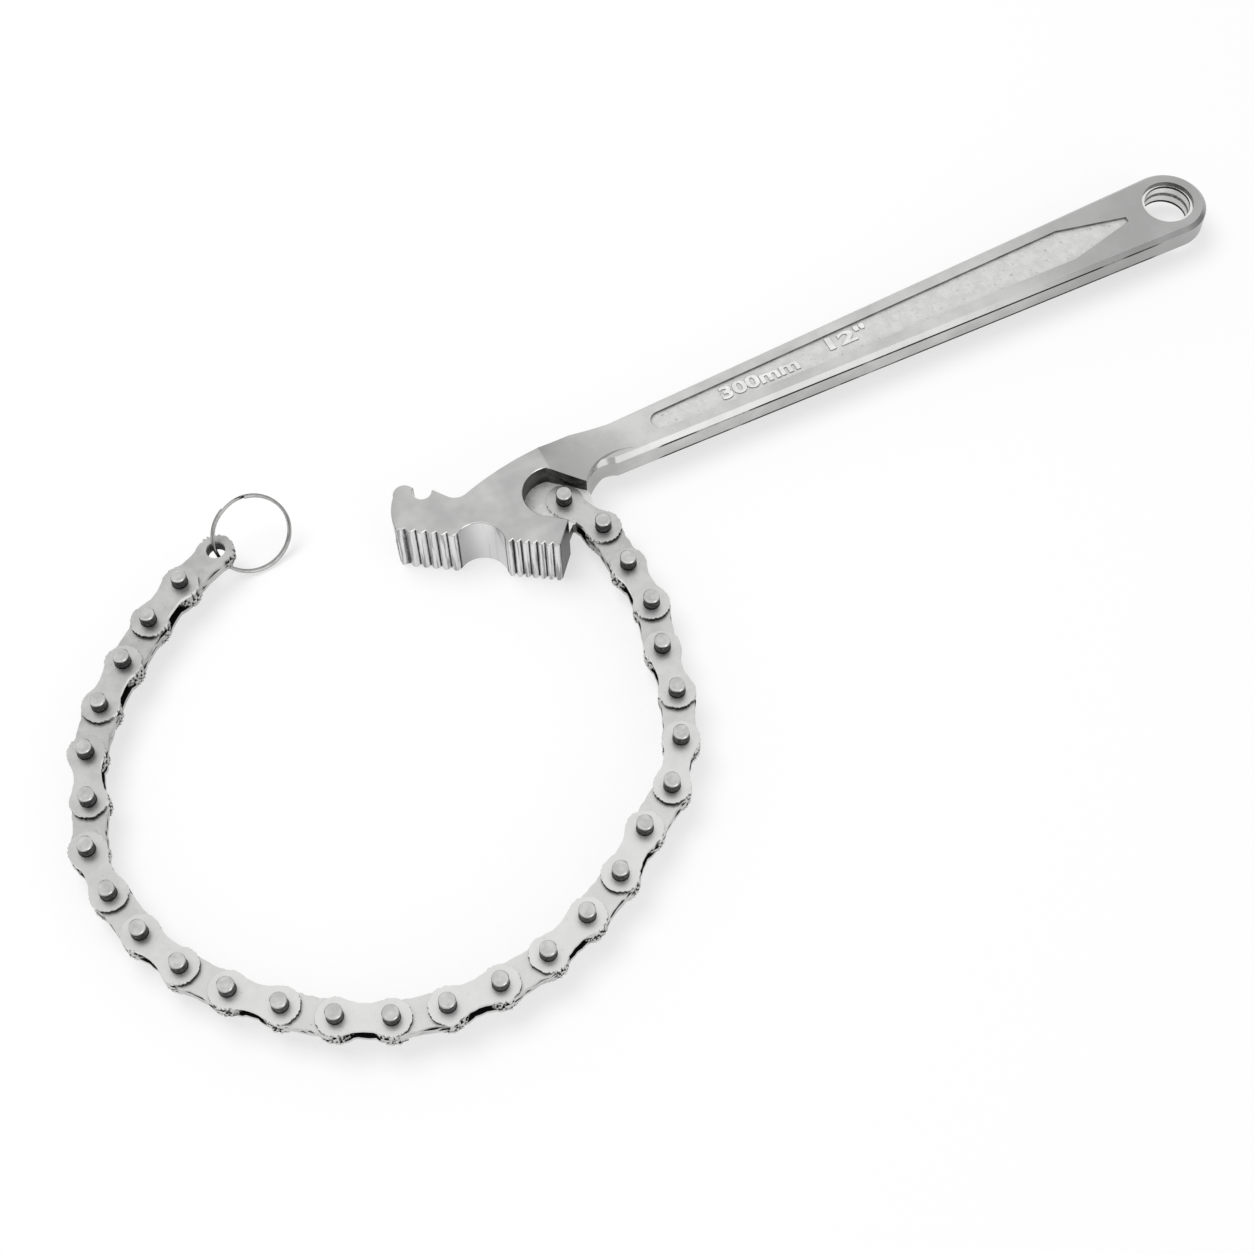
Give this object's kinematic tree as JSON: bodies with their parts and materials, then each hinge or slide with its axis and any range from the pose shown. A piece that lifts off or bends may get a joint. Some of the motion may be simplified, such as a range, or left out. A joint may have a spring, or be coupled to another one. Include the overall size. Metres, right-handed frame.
{
  "type": "chain oil filter wrench",
  "caption": "Forged wrench handle with a toothed head and a hook that holds a leaf chain looped round a filter, with a split ring at the chain's free end.",
  "frame": {"origin": "centre of the hanging hole, halfway through the thickness of the handle", "axes": "-X along the handle to the head, +Z square to the flat of the wrench, along every chain pin; +Y towards the back of the hook, with the toothed jaw and the chain on the -Y side"},
  "size_m": [0.4316, 0.1866, 0.0225],
  "materials": {
    "forged_steel": "satin",
    "chain_plate": "satin",
    "chain_pin": "satin",
    "ring_wire": "polished"
  },
  "bodies": {
    "wrench": {"wrench_body": "forged_steel"},
    "outer_link_01": {"outer_link_01_top_plate": "chain_plate", "outer_link_01_bottom_plate": "chain_plate", "outer_link_01_pins": "chain_pin"},
    "inner_link_01": {"inner_link_01_plates": "chain_plate"},
    "outer_link_02": {"outer_link_02_top_plate": "chain_plate", "outer_link_02_bottom_plate": "chain_plate", "outer_link_02_pins": "chain_pin"},
    "inner_link_02": {"inner_link_02_plates": "chain_plate"},
    "outer_link_03": {"outer_link_03_top_plate": "chain_plate", "outer_link_03_bottom_plate": "chain_plate", "outer_link_03_pins": "chain_pin"},
    "inner_link_03": {"inner_link_03_plates": "chain_plate"},
    "outer_link_04": {"outer_link_04_top_plate": "chain_plate", "outer_link_04_bottom_plate": "chain_plate", "outer_link_04_pins": "chain_pin"},
    "inner_link_04": {"inner_link_04_plates": "chain_plate"},
    "outer_link_05": {"outer_link_05_top_plate": "chain_plate", "outer_link_05_bottom_plate": "chain_plate", "outer_link_05_pins": "chain_pin"},
    "inner_link_05": {"inner_link_05_plates": "chain_plate"},
    "outer_link_06": {"outer_link_06_top_plate": "chain_plate", "outer_link_06_bottom_plate": "chain_plate", "outer_link_06_pins": "chain_pin"},
    "inner_link_06": {"inner_link_06_plates": "chain_plate"},
    "outer_link_07": {"outer_link_07_top_plate": "chain_plate", "outer_link_07_bottom_plate": "chain_plate", "outer_link_07_pins": "chain_pin"},
    "inner_link_07": {"inner_link_07_plates": "chain_plate"},
    "outer_link_08": {"outer_link_08_top_plate": "chain_plate", "outer_link_08_bottom_plate": "chain_plate", "outer_link_08_pins": "chain_pin"},
    "inner_link_08": {"inner_link_08_plates": "chain_plate"},
    "outer_link_09": {"outer_link_09_top_plate": "chain_plate", "outer_link_09_bottom_plate": "chain_plate", "outer_link_09_pins": "chain_pin"},
    "inner_link_09": {"inner_link_09_plates": "chain_plate"},
    "outer_link_10": {"outer_link_10_top_plate": "chain_plate", "outer_link_10_bottom_plate": "chain_plate", "outer_link_10_pins": "chain_pin"},
    "inner_link_10": {"inner_link_10_plates": "chain_plate"},
    "outer_link_11": {"outer_link_11_top_plate": "chain_plate", "outer_link_11_bottom_plate": "chain_plate", "outer_link_11_pins": "chain_pin"},
    "inner_link_11": {"inner_link_11_plates": "chain_plate"},
    "outer_link_12": {"outer_link_12_top_plate": "chain_plate", "outer_link_12_bottom_plate": "chain_plate", "outer_link_12_pins": "chain_pin"},
    "inner_link_12": {"inner_link_12_plates": "chain_plate"},
    "outer_link_13": {"outer_link_13_top_plate": "chain_plate", "outer_link_13_bottom_plate": "chain_plate", "outer_link_13_pins": "chain_pin"},
    "inner_link_13": {"inner_link_13_plates": "chain_plate"},
    "outer_link_14": {"outer_link_14_top_plate": "chain_plate", "outer_link_14_bottom_plate": "chain_plate", "outer_link_14_pins": "chain_pin"},
    "inner_link_14": {"inner_link_14_plates": "chain_plate"},
    "split_ring": {"split_ring": "ring_wire"}
  },
  "joints": [
    {"name": "chain_pin_01", "type": "hinge", "parent": "wrench", "child": "outer_link_01", "pos_m": [-0.2366, -0.0146, 0], "axis": [0, 0, 1], "range_deg": [-15, 35]},
    {"name": "chain_pin_02", "type": "hinge", "parent": "outer_link_01", "child": "inner_link_01", "pos_m": [-0.22989, -0.02899, 0], "axis": [0, 0, -1], "range_deg": [-35, 10]},
    {"name": "chain_pin_03", "type": "hinge", "parent": "inner_link_01", "child": "outer_link_02", "pos_m": [-0.22906, -0.04484, 0], "axis": [0, 0, 1], "range_deg": [-10, 35]},
    {"name": "chain_pin_04", "type": "hinge", "parent": "outer_link_02", "child": "inner_link_02", "pos_m": [-0.22906, -0.06072, 0], "axis": [0, 0, -1], "range_deg": [-35, 10]},
    {"name": "chain_pin_05", "type": "hinge", "parent": "inner_link_02", "child": "outer_link_03", "pos_m": [-0.23317, -0.07605, 0], "axis": [0, 0, 1], "range_deg": [-10, 35]},
    {"name": "chain_pin_06", "type": "hinge", "parent": "outer_link_03", "child": "inner_link_03", "pos_m": [-0.2362, -0.09163, 0], "axis": [0, 0, -1], "range_deg": [-35, 10]},
    {"name": "chain_pin_07", "type": "hinge", "parent": "inner_link_03", "child": "outer_link_04", "pos_m": [-0.2424, -0.10625, 0], "axis": [0, 0, 1], "range_deg": [-10, 35]},
    {"name": "chain_pin_08", "type": "hinge", "parent": "outer_link_04", "child": "inner_link_04", "pos_m": [-0.25195, -0.11893, 0], "axis": [0, 0, -1], "range_deg": [-35, 10]},
    {"name": "chain_pin_09", "type": "hinge", "parent": "inner_link_04", "child": "outer_link_05", "pos_m": [-0.26527, -0.12757, 0], "axis": [0, 0, 1], "range_deg": [-10, 35]},
    {"name": "chain_pin_10", "type": "hinge", "parent": "outer_link_05", "child": "inner_link_05", "pos_m": [-0.27795, -0.13712, 0], "axis": [0, 0, -1], "range_deg": [-35, 10]},
    {"name": "chain_pin_11", "type": "hinge", "parent": "inner_link_05", "child": "outer_link_06", "pos_m": [-0.29209, -0.14433, 0], "axis": [0, 0, 1], "range_deg": [-10, 35]},
    {"name": "chain_pin_12", "type": "hinge", "parent": "outer_link_06", "child": "inner_link_06", "pos_m": [-0.30701, -0.14976, 0], "axis": [0, 0, -1], "range_deg": [-35, 10]},
    {"name": "chain_pin_13", "type": "hinge", "parent": "inner_link_06", "child": "outer_link_07", "pos_m": [-0.32277, -0.1517, 0], "axis": [0, 0, 1], "range_deg": [-10, 35]},
    {"name": "chain_pin_14", "type": "hinge", "parent": "outer_link_07", "child": "inner_link_07", "pos_m": [-0.33862, -0.15086, 0], "axis": [0, 0, -1], "range_deg": [-35, 10]},
    {"name": "chain_pin_15", "type": "hinge", "parent": "inner_link_07", "child": "outer_link_08", "pos_m": [-0.35402, -0.14702, 0], "axis": [0, 0, 1], "range_deg": [-10, 35]},
    {"name": "chain_pin_16", "type": "hinge", "parent": "outer_link_08", "child": "inner_link_08", "pos_m": [-0.36804, -0.13957, 0], "axis": [0, 0, -1], "range_deg": [-35, 10]},
    {"name": "chain_pin_17", "type": "hinge", "parent": "inner_link_08", "child": "outer_link_09", "pos_m": [-0.38038, -0.12958, 0], "axis": [0, 0, 1], "range_deg": [-10, 35]},
    {"name": "chain_pin_18", "type": "hinge", "parent": "outer_link_09", "child": "inner_link_09", "pos_m": [-0.3918, -0.11855, 0], "axis": [0, 0, -1], "range_deg": [-35, 10]},
    {"name": "chain_pin_19", "type": "hinge", "parent": "inner_link_09", "child": "outer_link_10", "pos_m": [-0.40135, -0.10587, 0], "axis": [0, 0, 1], "range_deg": [-10, 35]},
    {"name": "chain_pin_20", "type": "hinge", "parent": "outer_link_10", "child": "inner_link_10", "pos_m": [-0.40781, -0.09137, 0], "axis": [0, 0, -1], "range_deg": [-35, 10]},
    {"name": "chain_pin_21", "type": "hinge", "parent": "inner_link_10", "child": "outer_link_11", "pos_m": [-0.41165, -0.07597, 0], "axis": [0, 0, 1], "range_deg": [-10, 35]},
    {"name": "chain_pin_22", "type": "hinge", "parent": "outer_link_11", "child": "inner_link_11", "pos_m": [-0.41248, -0.06012, 0], "axis": [0, 0, -1], "range_deg": [-35, 10]},
    {"name": "chain_pin_23", "type": "hinge", "parent": "inner_link_11", "child": "outer_link_12", "pos_m": [-0.40679, -0.0453, 0], "axis": [0, 0, 1], "range_deg": [-10, 35]},
    {"name": "chain_pin_24", "type": "hinge", "parent": "outer_link_12", "child": "inner_link_12", "pos_m": [-0.40215, -0.03011, 0], "axis": [0, 0, -1], "range_deg": [-35, 10]},
    {"name": "chain_pin_25", "type": "hinge", "parent": "inner_link_12", "child": "outer_link_13", "pos_m": [-0.39304, -0.01711, 0], "axis": [0, 0, 1], "range_deg": [-10, 35]},
    {"name": "chain_pin_26", "type": "hinge", "parent": "outer_link_13", "child": "inner_link_13", "pos_m": [-0.38162, -0.00608, 0], "axis": [0, 0, -1], "range_deg": [-35, 10]},
    {"name": "chain_pin_27", "type": "hinge", "parent": "inner_link_13", "child": "outer_link_14", "pos_m": [-0.36946, 0.00412, 0], "axis": [0, 0, 1], "range_deg": [-10, 35]},
    {"name": "chain_pin_28", "type": "hinge", "parent": "outer_link_14", "child": "inner_link_14", "pos_m": [-0.356, 0.01253, 0], "axis": [0, 0, -1], "range_deg": [-35, 10]},
    {"name": "ring_swing", "type": "hinge", "parent": "inner_link_14", "child": "split_ring", "pos_m": [-0.34173, 0.01949, 0], "axis": [0, 0, 1], "range_deg": [-60, 60]}
  ]
}
